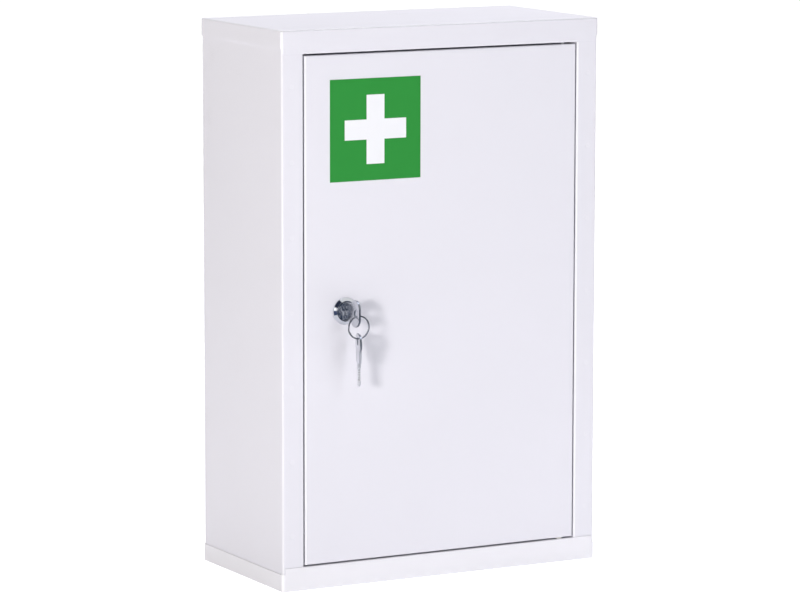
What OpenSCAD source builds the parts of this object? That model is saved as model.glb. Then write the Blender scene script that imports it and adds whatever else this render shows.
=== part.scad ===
// Lockable wall medicine cabinet in folded sheet steel.
// Millimetres. +Z is up, the door faces -Y, and the origin is the centre of the underside.

/* [Cabinet] */
// Overall width
body_w = 300; // [240:1:420]
// Overall depth
body_d = 150; // [125:1:240]
// Overall height
body_h = 465; // [380:1:700]
// Thickness of the folded steel sheet
sheet = 0.8; // [0.6:0.1:1.2]
// Height of the front rails above and below the door
rail_h = 20; // [17:0.5:40]
// Width of the front stiles at each side of the door
stile_w = 20.5; // [17:0.5:40]
// Height of the cap skirts on the sides and the back
skirt_h = 15; // [8:0.5:20]
// Outside radius of the upright folds of the side panels
bend_r = 2; // [1.4:0.1:3]
// Outside radius of the folds round the edge of the cap plates
cap_fold_r = 1.6; // [1.3:0.1:2.4]
// Outside radius of the folds round the door opening and the door
edge_fold_r = 1.2; // [1.21:0.01:1.6]
// Depth of the return lips of the rails and stiles, from the stile face
lip_depth = 15; // [10:0.5:20]
// Width of the rear flanges of the side panels
rear_flange_w = 15; // [8:0.5:30]
// Diameter of the drain relief at each corner fold of a cap
corner_relief_d = 1; // [0.6:0.1:1.6]

/* [Wall fixing] */
// Diameter of the wall screw holes
wall_hole_d = 6; // [4:0.5:9]
// Sideways spacing of the wall screw holes
wall_hole_dx = 200; // [120:1:220]
// Upright spacing of the wall screw holes
wall_hole_dz = 380; // [300:1:400]

/* [Shelves] */
// Height of the lower shelf above the base
lower_shelf_z = 155; // [110:1:170]
// Height of the upper shelf above the base
upper_shelf_z = 310; // [280:1:330]
// Clear space between the stile face and the front edge of a shelf
shelf_setback = 34; // [30:1:60]
// Play at each end of a shelf and behind it
shelf_play = 0.5; // [0.3:0.1:2]
// Height of the folded front and rear lips of a shelf
shelf_lip_h = 10; // [6:0.5:15]
// Width of both legs of a shelf bracket
bracket_leg = 12; // [8:0.5:20]
// Distance from a shelf bracket to the front lip of its shelf and to the back panel
bracket_end_gap = 4; // [2:0.5:20]

/* [Door] */
// Depth of the door pan
door_depth = 15; // [10:0.5:20]
// Gap between the door and each stile
door_gap_side = 1.2; // [1:0.1:2]
// Gap between the door and the upper rail
door_gap_top = 1.5; // [1:0.1:2.5]
// Gap between the door and the lower rail
door_gap_bottom = 1.2; // [1:0.1:2.5]
// Height of the two door stops above and below the middle of the door
stop_spread = 112; // [60:1:150]
// Height of a door stop bracket
stop_h = 16; // [8:0.5:30]
// Width of the leg of a door stop bracket that reaches behind the door
stop_reach = 9; // [7.5:0.5:12]
// Diameter of a rubber bumper
bumper_d = 6; // [4:0.5:6.5]
// Thickness of a rubber bumper
bumper_t = 1.2; // [0.8:0.1:3]
// Clearance between a bumper and the closed door
bumper_clear = 0.3; // [0.2:0.1:0.6]

/* [Hinge] */
// Distance of the hinge pins from the door edge
pivot_inset = 11.3; // [8:0.1:14]
// Depth of the hinge pins behind the door face
pivot_depth = 4; // [3.8:0.1:4.2]
// Diameter of a hinge pin
pin_d = 3; // [2:0.1:3.4]
// Length of a hinge pin inside the door
pin_reach = 6; // [4:0.5:12]
// Diameter of a hinge pin head
pin_head_d = 6; // [4.5:0.5:8]
// Thickness of a hinge pin head
pin_head_t = 1.2; // [0.8:0.1:2]
// Wall thickness of the barrel of a hinge bush
bush_wall = 0.75; // [0.5:0.05:0.9]
// Diameter of the flange of a hinge bush
bush_flange_d = 5.6; // [5.3:0.1:5.6]
// Thickness of the flange of a hinge bush
bush_flange_t = 0.8; // [0.5:0.1:1.5]
// Length of a hinge bush
bush_len = 5; // [3:0.5:10]
// Running clearance on the radius of a hinge pin
pin_clear = 0.05; // [0.02:0.01:0.1]
// Outer diameter of the thrust washer under the door
thrust_washer_d = 5.6; // [4.5:0.1:7]
// Play of the door above the thrust washer
thrust_play = 0.2; // [0.1:0.05:0.4]

/* [Sign] */
// Side of the square safety sign
sign_size = 84.4; // [50:0.1:100]
// Distance of the sign from the lock side edge of the door
sign_from_edge = 23.2; // [10:0.1:60]
// Distance of the sign from the top edge of the door
sign_from_top = 20.6; // [10:0.1:60]
// Overall size of the cross
cross_size = 57.2; // [30:0.1:70]
// Width of the arms of the cross
cross_arm = 16.6; // [8:0.1:24]
// Thickness of the vinyl film
film_t = 0.2; // [0.1:0.05:0.5]

/* [Lock] */
// Distance of the lock axis from the edge of the door
lock_from_edge = 37; // [32:0.5:40]
// Height of the lock axis above the base
lock_z = 231.5; // [210:0.5:260]
// Diameter of the lock head
head_d = 22.6; // [21:0.1:26]
// Height of the lock head in front of the door
head_t = 3; // [2.4:0.1:4]
// Radius of the rounded rim of the lock head
head_round_r = 1.3; // [0.6:0.1:1.6]
// Diameter of the recess in the lock head
recess_d = 17; // [16:0.1:18]
// Thickness of the floor of the recess in the lock head
recess_floor_t = 0.8; // [0.5:0.1:1.2]
// Width of the chamfer round the recess
recess_chamfer = 0.6; // [0.3:0.1:0.8]
// Diameter of the lock barrel
barrel_d = 18.6; // [17.6:0.1:19]
// Width across the two flats of the lock barrel
barrel_flats = 16; // [15.5:0.1:17]
// Length of the lock barrel behind the door face
barrel_len = 22; // [21:0.5:26]
// Clearance round the barrel in the door and under the nut
barrel_clear = 0.15; // [0.05:0.05:0.3]
// Width across the flats of the lock nut
nut_flats = 24; // [22:0.5:27]
// Thickness of the lock nut
nut_t = 3.5; // [2.5:0.5:5]
// Thickness of the toothed washer under the lock nut
washer_t = 0.7; // [0.5:0.1:1.2]
// Number of teeth on the washer under the lock nut
washer_teeth = 16; // [8:1:24]
// Diameter of the face of the plug
plug_face_d = 15.4; // [14:0.1:15.8]
// Thickness of the face of the plug
plug_face_t = 1.5; // [1:0.1:2]
// Diameter of the body of the plug
plug_d = 11.5; // [10.5:0.1:12]
// Running clearance on the radius of the plug
plug_clear = 0.06; // [0.02:0.01:0.1]
// Play of the plug along its axis
plug_play = 0.1; // [0.05:0.05:0.2]
// Side of the square tail of the plug
tail_side = 7; // [6:0.1:7.6]

/* [Wafers] */
// Number of wafers in the plug
wafer_count = 5; // [3:1:5]
// Thickness of a wafer
wafer_t = 1; // [0.8:0.1:1]
// Distance from one wafer to the next
wafer_pitch = 2; // [1.9:0.05:2.1]
// Width of a wafer
wafer_w = 5; // [4.6:0.1:5.6]
// Depth of the first wafer behind the door face
wafer_first = 2.5; // [2.2:0.1:3]
// Clearance round a wafer in its slot
wafer_clear = 0.1; // [0.05:0.05:0.2]
// Lift of the wafers when the key is out
wafer_lift = 1; // [0.6:0.1:1]

/* [Cam] */
// Length of the cam from the lock axis to its tip
cam_len = 44; // [42.5:0.5:50]
// Width of the cam
cam_w = 16; // [12:0.5:20]
// Thickness of the cam
cam_t = 1.6; // [1.2:0.1:2]
// Clearance between the cam and the lip behind which it turns
cam_clear = 0.7; // [0.4:0.1:1.5]
// Start of the crank of the cam, measured from the lock axis
crank_start = 11; // [10:0.5:14]
// Length of the sloping part of the cam
crank_run = 5; // [4:0.5:8]
// Diameter of the washer on the cam
cam_washer_d = 11; // [9:0.5:14]
// Thickness of the washer on the cam
cam_washer_t = 0.8; // [0.5:0.1:1.2]
// Shank diameter of the cam screw
screw_d = 3.8; // [3:0.1:4]
// Head diameter of the cam screw
screw_head_d = 7.6; // [6:0.1:9]
// Head thickness of the cam screw
screw_head_t = 2.4; // [1.8:0.1:3]
// Length of the cam screw under its head
screw_len = 6.4; // [4:0.1:6.6]

/* [Keys] */
// Length of a key
key_len = 44; // [42:0.5:44.5]
// Thickness of a key
key_t = 2; // [1.6:0.1:2.2]
// Width of the bow of a key
bow_w = 22.5; // [18:0.5:24]
// Length of the bow of a key
bow_len = 15.3; // [14:0.1:16.5]
// Distance from the door face to the outer end of the bow
bow_out = 26.5; // [26:0.1:28]
// Diameter of the hole in the bow
bow_hole_d = 6.6; // [6:0.1:7]
// Distance from the end of the bow to the centre of its hole
bow_hole_from_end = 6; // [5.5:0.1:7]
// Width of the neck of a key where it meets the bow
neck_w = 17; // [12:0.5:17.4]
// Width of the shoulder of a key at the plug
shoulder_w = 14; // [8.4:0.1:14.6]
// Width of the blade of a key
blade_w = 7; // [6.4:0.1:7]
// Clearance round the blade of a key in the plug
blade_clear = 0.2; // [0.1:0.05:0.2]
// Depth of the groove along each face of a blade
groove_depth = 0.4; // [0.2:0.1:0.6]
// Width of the groove along each face of a blade
groove_w = 1.6; // [1:0.1:2.4]
// Depth of the cuts in the edges of a blade
cut_depth = 0.6; // [0.3:0.1:0.8]
// Outer diameter of the key ring
ring_d = 20; // [19:0.5:24]
// Wire diameter of the key ring
ring_wire_d = 1.3; // [1:0.1:1.6]
// Sideways offset of the key ring from the key that carries it
ring_side = 2.1; // [0:0.1:3]
// Clearance between the ring wire and the rim of a bow hole
ring_clear = 0.55; // [0.45:0.05:0.8]
// Twist of the spare key about the upright axis, in degrees
spare_twist = 18; // [0:1:25]

/* [Hidden] */

fine = 64;          // facets of a round shape in the preview
cut = 1;            // how far a cutter runs past the face that it cuts

// Planes and edges of the cabinet
half_w = body_w / 2;
half_d = body_d / 2;
side_x = half_w - sheet;                    // outer face of a side panel
face_y = -half_d + sheet;                   // front face of the stiles and the door
rear_y = half_d - sheet;                    // rear face of the side panel flanges
back_y = rear_y - 2 * sheet;                // inner face of the back panel
corner_r = bend_r + sheet;                  // upright corner of a cap, round that of a side panel
open_x = half_w - stile_w;                  // half the width of the door opening
open_z0 = rail_h;
open_z1 = body_h - rail_h;
lip_y = face_y + lip_depth;                 // rear edge of the lips

// Door
door_x = open_x - door_gap_side;
door_z0 = open_z0 + door_gap_bottom;
door_z1 = open_z1 - door_gap_top;
door_back_y = face_y + door_depth;
door_mid_z = (door_z0 + door_z1) / 2;
pivot_x = door_x - pivot_inset;
pivot_y = face_y + pivot_depth;
bush_bore_r = pin_d / 2 + pin_clear;
bush_r = bush_bore_r + bush_wall;

// Shelves
shelf_x = side_x - sheet - shelf_play;
shelf_y0 = face_y + shelf_setback;
shelf_y1 = back_y - shelf_play;

// Lock, along its own axis: +Z points out of the door and 0 is the door face
lock_x = -door_x + lock_from_edge;
recess_r = recess_d / 2;
bore_r = plug_d / 2 + plug_clear;
plug_face_z = recess_floor_t + plug_play + plug_face_t;
blade_end_z = bow_out - key_len;
slot_end_z = blade_end_z - 2 * blade_clear;
hub_z1 = -barrel_len - plug_play;           // front face of the cam hub
hub_z0 = hub_z1 - cam_t;
arm_z1 = -max(lip_depth, door_depth) - cam_clear;  // front face of the cam arm
arm_z0 = arm_z1 - cam_t;
tail_end_z = hub_z0 + plug_play;
wafer_r = plug_d / 2 - wafer_clear;
wafer_end_z = wafer_first + (wafer_count - 1) * wafer_pitch + wafer_t;
groove_r = wafer_r + wafer_lift + 2 * wafer_clear;
washer_d = nut_flats + 0.5;

// Keys and ring
neck_end = bow_out - plug_face_z - plug_play;      // from the bow's end to the shoulder
hole_drop = bow_hole_d / 2 - ring_wire_d / 2 - ring_clear;  // wire centre from a hole's centre
ring_r = (ring_d - ring_wire_d) / 2;
ring_drop = sqrt(ring_r * ring_r - ring_side * ring_side);
ring_x = lock_x + ring_side;
ring_y = face_y - bow_out + bow_hole_from_end;
ring_z = lock_z - hole_drop - ring_drop;
spare_z = ring_z - ring_r - hole_drop + bow_hole_from_end;  // upper end of the spare key's bow

// Colours
paint = "#ECEBF3";
chrome = "#C9CCD2";
zinc = "#B9BCC0";
brass = "#C8B46A";
nylon = "#F2F0E6";

// ---------- shapes that repeat ----------

// A quarter of a sheet fold, centred on its bend axis; sx and sy choose the quadrant
module quarter_fold(r, sx, sy) {
    intersection() {
        difference() {
            circle(r = r, $fn = fine);
            circle(r = r - sheet, $fn = fine);
        }
        translate([sx > 0 ? 0 : -r, sy > 0 ? 0 : -r])
            square(r);
    }
}

// A rectangle from corner a to corner b
module patch(a, b) {
    translate(a)
        square([b[0] - a[0], b[1] - a[1]]);
}

// A rectangle that is rounded at its two upper corners
module arch(half, low, high, r) {
    patch([-half, low], [half, high - r]);
    patch([-half + r, low], [half - r, high]);
    for (s = [-1, 1])
        translate([s * (half - r), high - r])
            circle(r = r, $fn = fine);
}

// A centred rectangle that is rounded at all four corners
module soft_rect(w, d, r) {
    square([w - 2 * r, d], center = true);
    square([w, d - 2 * r], center = true);
    for (sx = [-1, 1], sy = [-1, 1])
        translate([sx * (w / 2 - r), sy * (d / 2 - r)])
            circle(r = r, $fn = fine);
}

// An outline in Y and Z, extruded along X
module along_x(length)
    rotate([90, 0, 90])
        linear_extrude(length, center = true)
            children();

// An outline in X and Z, extruded along Y
module along_y(length)
    rotate([90, 0, 0])
        linear_extrude(length, center = true)
            children();

// Places its children on the lock axis, with +Z pointing out of the door
module on_lock()
    translate([lock_x, face_y, lock_z])
        rotate([90, 0, 0])
            children();

// ---------- cabinet shell ----------

// The block that a cap is folded round, smaller by inset on every face
module cap_block(inset) {
    low = open_z1 - inset * 10;
    intersection() {
        along_y(body_d - 2 * inset)
            arch(half_w - inset, low, body_h - inset, cap_fold_r - inset);
        along_x(body_w - 2 * inset)
            arch(half_d - inset, low, body_h - inset, cap_fold_r - inset);
        translate([0, 0, low])
            linear_extrude(body_h - low)
                soft_rect(body_w - 2 * inset, body_d - 2 * inset, corner_r - inset);
    }
}

// The fold and lip along the edge of a rail, in Y and Z
module rail_lip_outline() {
    translate([-half_d + edge_fold_r, open_z1 + edge_fold_r])
        quarter_fold(edge_fold_r, -1, -1);
    patch([-half_d + edge_fold_r, open_z1], [lip_y, open_z1 + sheet]);
}

// The upper cap: plate, front rail, three skirts and the lip over the door
module cap() {
    skirt_z = body_h - skirt_h;
    relief_in = corner_r * (1 - sqrt(0.5));
    difference() {
        union() {
            difference() {
                cap_block(0);
                cap_block(sheet);
                // the skirts stop short of the rail
                translate([-body_w, face_y, open_z1 - cut])
                    cube([2 * body_w, body_d + cut, skirt_z - open_z1 + cut]);
                for (s = [-1, 1])
                    translate([s * (half_w - corner_r + body_w / 2), 0, (open_z1 - cut + skirt_z) / 2])
                        cube([body_w, 2 * body_d, skirt_z - open_z1 + cut], center = true);
                // room for the fold of the lip
                translate([0, -half_d, open_z1])
                    cube([2 * open_x, 3 * sheet, 2 * edge_fold_r], center = true);
            }
            along_x(2 * open_x)
                rail_lip_outline();
        }
        // hole for the hinge pin
        translate([pivot_x, pivot_y, open_z1 - cut])
            cylinder(d = pin_d, h = sheet + 2 * cut, $fn = fine);
        // relief where two folds meet a corner
        for (sx = [-1, 1], sy = [-1, 1])
            translate([sx * (half_w - relief_in), sy * (half_d - relief_in), body_h - cap_fold_r])
                rotate([90, 0, sx * sy * 45])
                    cylinder(d = corner_relief_d, h = 2 * corner_r, center = true, $fn = fine);
    }
}

module top_panel()
    color(paint)
        cap();

module bottom_panel()
    color(paint)
        translate([0, 0, body_h])
            mirror([0, 0, 1])
                cap();

// The folded section of the left side panel, in X and Y
module side_outline() {
    lip_x = -open_x - sheet;
    translate([-open_x - edge_fold_r, face_y + edge_fold_r])
        quarter_fold(edge_fold_r, 1, -1);
    patch([lip_x, face_y + edge_fold_r], [-open_x, lip_y]);
    patch([-side_x + bend_r, face_y], [-open_x - edge_fold_r, face_y + sheet]);
    translate([-side_x + bend_r, face_y + bend_r])
        quarter_fold(bend_r, -1, -1);
    patch([-side_x, face_y + bend_r], [-side_x + sheet, rear_y - bend_r]);
    translate([-side_x + bend_r, rear_y - bend_r])
        quarter_fold(bend_r, -1, 1);
    patch([-side_x + bend_r, rear_y - sheet], [-side_x + rear_flange_w, rear_y]);
}

module side_panel()
    translate([0, 0, cap_fold_r])
        linear_extrude(body_h - 2 * cap_fold_r)
            side_outline();

module left_side_panel()
    color(paint)
        side_panel();

module right_side_panel()
    color(paint)
        mirror([1, 0, 0])
            side_panel();

module back_panel()
    color(paint)
        difference() {
            translate([-side_x + bend_r, back_y, sheet])
                cube([2 * (side_x - bend_r), sheet, body_h - 2 * sheet]);
            for (sx = [-1, 1], sz = [-1, 1])
                translate([sx * wall_hole_dx / 2, back_y + sheet / 2, body_h / 2 + sz * wall_hole_dz / 2])
                    rotate([90, 0, 0])
                        cylinder(d = wall_hole_d, h = 4 * sheet, center = true, $fn = fine);
        }

// ---------- shelves ----------

// Section of a shelf in Y and Z: plate, front lip down, rear lip up
module shelf_outline() {
    translate([shelf_y0 + edge_fold_r, sheet - edge_fold_r])
        quarter_fold(edge_fold_r, -1, 1);
    patch([shelf_y0, sheet - shelf_lip_h], [shelf_y0 + sheet, sheet - edge_fold_r]);
    patch([shelf_y0 + edge_fold_r, 0], [shelf_y1 - edge_fold_r, sheet]);
    translate([shelf_y1 - edge_fold_r, edge_fold_r])
        quarter_fold(edge_fold_r, 1, -1);
    patch([shelf_y1 - sheet, edge_fold_r], [shelf_y1, shelf_lip_h]);
}

module shelf(z)
    color(paint)
        translate([0, 0, z])
            along_x(2 * shelf_x)
                shelf_outline();

module upper_shelf() shelf(upper_shelf_z);
module lower_shelf() shelf(lower_shelf_z);

// An angle under one end of a shelf; s is -1 on the left and 1 on the right
module bracket(s, z) {
    y0 = shelf_y0 + bracket_end_gap;
    y1 = back_y - bracket_end_gap;
    wall_x = side_x - sheet;
    color(paint)
        mirror([s < 0 ? 1 : 0, 0, 0])
            translate([0, (y0 + y1) / 2, z])
                along_y(y1 - y0) {
                    patch([wall_x - sheet, -bracket_leg], [wall_x, -edge_fold_r]);
                    translate([wall_x - edge_fold_r, -edge_fold_r])
                        quarter_fold(edge_fold_r, 1, 1);
                    patch([wall_x - bracket_leg, -sheet], [wall_x - edge_fold_r, 0]);
                }
}

module upper_left_bracket() bracket(-1, upper_shelf_z);
module upper_right_bracket() bracket(1, upper_shelf_z);
module lower_left_bracket() bracket(-1, lower_shelf_z);
module lower_right_bracket() bracket(1, lower_shelf_z);

// ---------- door stops ----------

stop_face_y = door_back_y + bumper_clear + bumper_t;
bumper_x = -open_x - 2 * sheet + edge_fold_r + bumper_d / 2;   // clear of the fold of its bracket

// An angle welded to the lip of the left stile that reaches behind the door
module door_stop(z) {
    x0 = -open_x - 2 * sheet;
    y1 = stop_face_y + sheet;
    color(paint)
        translate([0, 0, z - stop_h / 2])
            linear_extrude(stop_h) {
                patch([x0, face_y + 2 * sheet], [x0 + sheet, y1 - edge_fold_r]);
                translate([x0 + edge_fold_r, y1 - edge_fold_r])
                    quarter_fold(edge_fold_r, -1, 1);
                patch([x0 + edge_fold_r, stop_face_y], [x0 + stop_reach, y1]);
            }
}

module upper_door_stop() door_stop(door_mid_z + stop_spread);
module lower_door_stop() door_stop(door_mid_z - stop_spread);

module door_bumpers()
    color("#3A3A3C")
        for (s = [-1, 1])
            translate([bumper_x, stop_face_y, door_mid_z + s * stop_spread])
                rotate([90, 0, 0])
                    cylinder(d = bumper_d, h = bumper_t, $fn = fine);

// ---------- hinge ----------

// A headed pin that hangs from the lip at height 0 and reaches down into the door
module hinge_pin(gap)
    color(zinc)
        union() {
            translate([0, 0, sheet])
                cylinder(d = pin_head_d, h = pin_head_t, $fn = fine);
            translate([0, 0, -gap - pin_reach])
                cylinder(d = pin_d, h = gap + pin_reach + sheet + pin_head_t / 2, $fn = fine);
        }

module top_hinge_pin()
    translate([pivot_x, pivot_y, open_z1])
        hinge_pin(door_gap_top);

module bottom_hinge_pin()
    translate([pivot_x, pivot_y, open_z0])
        mirror([0, 0, 1])
            hinge_pin(door_gap_bottom);

// A flanged bush that fills the hole in a door flange whose outer face is at height 0
module hinge_bush()
    color(nylon)
        difference() {
            union() {
                translate([0, 0, -bush_len])
                    cylinder(r = bush_r, h = bush_len, $fn = fine);
                translate([0, 0, -sheet - bush_flange_t])
                    cylinder(d = bush_flange_d, h = bush_flange_t, $fn = fine);
            }
            translate([0, 0, -bush_len - cut])
                cylinder(r = bush_bore_r, h = bush_len + 2 * cut, $fn = fine);
        }

module top_hinge_bush()
    translate([pivot_x, pivot_y, door_z1])
        hinge_bush();

module bottom_hinge_bush()
    translate([pivot_x, pivot_y, door_z0])
        mirror([0, 0, 1])
            hinge_bush();

module thrust_washer()
    color(nylon)
        translate([pivot_x, pivot_y, open_z0])
            difference() {
                cylinder(d = thrust_washer_d, h = door_gap_bottom - thrust_play, $fn = fine);
                translate([0, 0, -cut])
                    cylinder(r = bush_bore_r, h = door_gap_bottom + 2 * cut, $fn = fine);
            }

// ---------- door ----------

// The block that the door pan is folded round, smaller by inset on its front and edges
module door_block(inset) {
    r = edge_fold_r - inset;
    depth = door_depth - inset + (inset > 0 ? cut : 0);
    height = door_z1 - door_z0 - 2 * inset;
    intersection() {
        translate([0, face_y + inset + depth, door_mid_z])
            mirror([0, 1, 0])
                linear_extrude(height, center = true)
                    arch(door_x - inset, 0, depth, r);
        translate([0, face_y + inset + depth, door_mid_z])
            rotate([90, 0, 0])
                rotate([0, 90, 0])
                    linear_extrude(2 * (door_x - inset), center = true)
                        rotate(90)
                            mirror([1, 0])
                                arch(height / 2, 0, depth, r);
    }
}

module door_panel()
    color(paint)
        difference() {
            door_block(0);
            door_block(sheet);
            // hole for the lock barrel, with two flats
            on_lock()
                intersection() {
                    cylinder(r = barrel_d / 2 + barrel_clear, h = 6 * sheet, center = true, $fn = fine);
                    cube([barrel_flats + 2 * barrel_clear, 2 * barrel_d, 6 * sheet], center = true);
                }
            // holes for the hinge bushes
            for (z = [door_z0, door_z1])
                translate([pivot_x, pivot_y, z])
                    cylinder(r = bush_r, h = 3 * sheet, center = true, $fn = fine);
        }

// Two crossing bars, in X and Z
module cross_outline() {
    square([cross_size, cross_arm], center = true);
    square([cross_arm, cross_size], center = true);
}

module on_sign()
    translate([-door_x + sign_from_edge + sign_size / 2,
               face_y - film_t / 2,
               door_z1 - sign_from_top - sign_size / 2])
        children();

module sign_field()
    color("#389A46")
        on_sign()
            along_y(film_t)
                difference() {
                    square(sign_size, center = true);
                    cross_outline();
                }

module sign_cross()
    color("#FAFBFF")
        on_sign()
            along_y(film_t)
                cross_outline();

// ---------- lock ----------

// Outline of a disc with one rounded outer edge, for turning about the axis
module rounded_disc_outline(radius, height, r) {
    square([radius, height - r]);
    square([radius - r, height]);
    translate([radius - r, height - r])
        circle(r = r, $fn = fine);
}

module lock_housing()
    color(chrome)
        on_lock()
            difference() {
                union() {
                    rotate_extrude($fn = fine)
                        rounded_disc_outline(head_d / 2, head_t, head_round_r);
                    translate([0, 0, -barrel_len])
                        linear_extrude(barrel_len + recess_floor_t / 2)
                            intersection() {
                                circle(d = barrel_d, $fn = fine);
                                square([barrel_flats, 2 * barrel_d], center = true);
                            }
                }
                translate([0, 0, recess_floor_t])
                    cylinder(r = recess_r, h = head_t, $fn = fine);
                translate([0, 0, head_t - recess_chamfer])
                    cylinder(r1 = recess_r, r2 = recess_r + 2 * recess_chamfer, h = 2 * recess_chamfer, $fn = fine);
                translate([0, 0, -barrel_len - cut])
                    cylinder(r = bore_r, h = barrel_len + head_t + cut, $fn = fine);
                // grooves that take the wafers in the two positions where the key comes out
                for (turn = [0, -90])
                    rotate(turn)
                        translate([-wafer_w / 2 - 3 * wafer_clear, 0, -wafer_end_z])
                            cube([wafer_w + 6 * wafer_clear, groove_r, wafer_end_z - wafer_first + 2 * wafer_t]);
            }

module lock_washer()
    color(zinc)
        on_lock()
            translate([0, 0, -sheet - washer_t])
                difference() {
                    cylinder(d = washer_d, h = washer_t, $fn = fine);
                    translate([0, 0, -cut])
                        cylinder(r = barrel_d / 2 + barrel_clear, h = washer_t + 2 * cut, $fn = fine);
                    for (i = [0:washer_teeth - 1])
                        rotate(i * 360 / washer_teeth)
                            translate([washer_d / 2, 0, washer_t / 2])
                                cube([2.4, washer_d / washer_teeth, 2 * washer_t], center = true);
                }

module lock_nut()
    color(zinc)
        on_lock()
            translate([0, 0, -sheet - washer_t - nut_t])
                difference() {
                    cylinder(d = nut_flats / cos(30), h = nut_t, $fn = 6);
                    translate([0, 0, -cut])
                        cylinder(r = barrel_d / 2 + barrel_clear / 2, h = nut_t + 2 * cut, $fn = fine);
                }

module lock_plug()
    color(brass)
        on_lock()
            difference() {
                union() {
                    translate([0, 0, plug_face_z - plug_face_t])
                        rotate_extrude($fn = fine)
                            rounded_disc_outline(plug_face_d / 2, plug_face_t, plug_face_t / 3);
                    translate([0, 0, -barrel_len])
                        cylinder(d = plug_d, h = barrel_len + plug_face_z - plug_face_t / 2, $fn = fine);
                    translate([-tail_side / 2, -tail_side / 2, tail_end_z])
                        cube([tail_side, tail_side, -tail_end_z - barrel_len / 2]);
                }
                // keyway
                translate([-key_t / 2 - blade_clear / 2, -blade_w / 2 - blade_clear, slot_end_z])
                    cube([key_t + blade_clear, blade_w + 2 * blade_clear, plug_face_z - slot_end_z + cut]);
                // wafer slots
                for (i = [0:wafer_count - 1])
                    translate([0, 0, -wafer_first - i * wafer_pitch])
                        cube([wafer_w + 2 * wafer_clear, 2 * plug_d, wafer_t + 2 * wafer_clear], center = true);
                // tapped hole for the cam screw
                translate([0, 0, tail_end_z - cut])
                    cylinder(r = screw_d / 2 + pin_clear, h = screw_len - cam_washer_t + cut, $fn = fine);
            }

module lock_wafers()
    color(brass)
        on_lock()
            for (i = [0:wafer_count - 1])
                translate([0, 0, -wafer_first - i * wafer_pitch])
                    difference() {
                        intersection() {
                            cube([wafer_w, 2 * wafer_r, wafer_t], center = true);
                            cylinder(r = wafer_r, h = 2 * wafer_t, center = true, $fn = fine);
                        }
                        translate([0, -wafer_lift / 2, 0])
                            cube([key_t + 2 * blade_clear,
                                  blade_w + 2 * blade_clear + wafer_lift,
                                  2 * wafer_t], center = true);
                    }

// Side view of the cranked cam; x runs down along the arm and y out of the door
module cam_side_outline()
    polygon([[-cam_w, hub_z1], [crank_start, hub_z1], [crank_start + crank_run, arm_z1], [cam_len, arm_z1],
             [cam_len, arm_z0], [crank_start + crank_run + cam_t / 2, arm_z0],
             [crank_start + cam_t / 2, hub_z0], [-cam_w, hub_z0]]);

module lock_cam()
    color(zinc)
        on_lock()
            difference() {
                intersection() {
                    rotate([0, 0, 180])
                        rotate([90, 0, 90])
                            linear_extrude(2 * cam_w, center = true)
                                cam_side_outline();
                    // plan of the cam: a round hub and an arm with a rounded tip
                    translate([0, 0, hub_z0 - cut])
                        linear_extrude(arm_z1 - hub_z0 + 2 * cut) {
                            circle(d = cam_w, $fn = fine);
                            patch([-cam_w / 2, -cam_len + cam_w / 2], [cam_w / 2, 0]);
                            translate([0, -cam_len + cam_w / 2])
                                circle(d = cam_w, $fn = fine);
                        }
                }
                translate([0, 0, hub_z0])
                    cube([tail_side + 2 * barrel_clear, tail_side + 2 * barrel_clear, 4 * cam_t], center = true);
            }

module cam_washer()
    color(zinc)
        on_lock()
            translate([0, 0, hub_z0 - cam_washer_t])
                difference() {
                    cylinder(d = cam_washer_d, h = cam_washer_t, $fn = fine);
                    translate([0, 0, -cut])
                        cylinder(r = screw_d / 2 + barrel_clear, h = cam_washer_t + 2 * cut, $fn = fine);
                }

module cam_screw()
    color(zinc)
        on_lock()
            translate([0, 0, hub_z0 - cam_washer_t])
                difference() {
                    union() {
                        translate([0, 0, -screw_head_t])
                            mirror([0, 0, 1])
                                translate([0, 0, -screw_head_t])
                                    rotate_extrude($fn = fine)
                                        rounded_disc_outline(screw_head_d / 2, screw_head_t, screw_head_t / 2);
                        translate([0, 0, -screw_head_t / 2])
                            cylinder(d = screw_d, h = screw_len + screw_head_t / 2 - plug_play, $fn = fine);
                    }
                    // cross recess
                    for (turn = [0, 90])
                        rotate(turn)
                            translate([0, 0, -screw_head_t])
                                cube([screw_head_d * 0.55, screw_head_t / 3, screw_head_t], center = true);
                }

// ---------- keys ----------

// Outline of a key: x is across and the bow's end is at y = 0, with the tip at -key_len
module key_outline() {
    bow_r = bow_len / 2;
    tip_r = blade_w / 2;
    difference() {
        union() {
            for (s = [-1, 1])
                translate([s * (bow_w / 2 - bow_r), -bow_r])
                    circle(r = bow_r, $fn = fine);
            translate([0, -bow_r])
                square([bow_w - bow_len, bow_len], center = true);
            polygon([[-neck_w / 2, -bow_len + 2], [-shoulder_w / 2, -neck_end],
                     [shoulder_w / 2, -neck_end], [neck_w / 2, -bow_len + 2]]);
            patch([-blade_w / 2, -key_len + tip_r], [blade_w / 2, -neck_end + 2]);
            translate([0, -key_len + tip_r])
                circle(r = tip_r, $fn = fine);
        }
        translate([0, -bow_hole_from_end])
            circle(d = bow_hole_d, $fn = fine);
        // cuts that lift the wafers
        for (i = [0:wafer_count - 1], s = [-1, 1])
            translate([s * blade_w / 2, -bow_out - wafer_first - i * wafer_pitch])
                polygon([[0, wafer_t], [-s * cut_depth, 0], [0, -wafer_t], [s * cut, -wafer_t], [s * cut, wafer_t]]);
    }
}

// A key that hangs from its bow, with its plate in the Y-Z plane
module key_blank()
    difference() {
        along_x(key_t)
            key_outline();
        for (s = [-1, 1])
            translate([s * key_t / 2, 0, -key_len / 2 - neck_end / 2 + groove_w])
                cube([2 * groove_depth, groove_w, key_len - neck_end], center = true);
    }

module door_key()
    color(chrome)
        on_lock()
            translate([0, 0, bow_out])
                key_blank();

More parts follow.
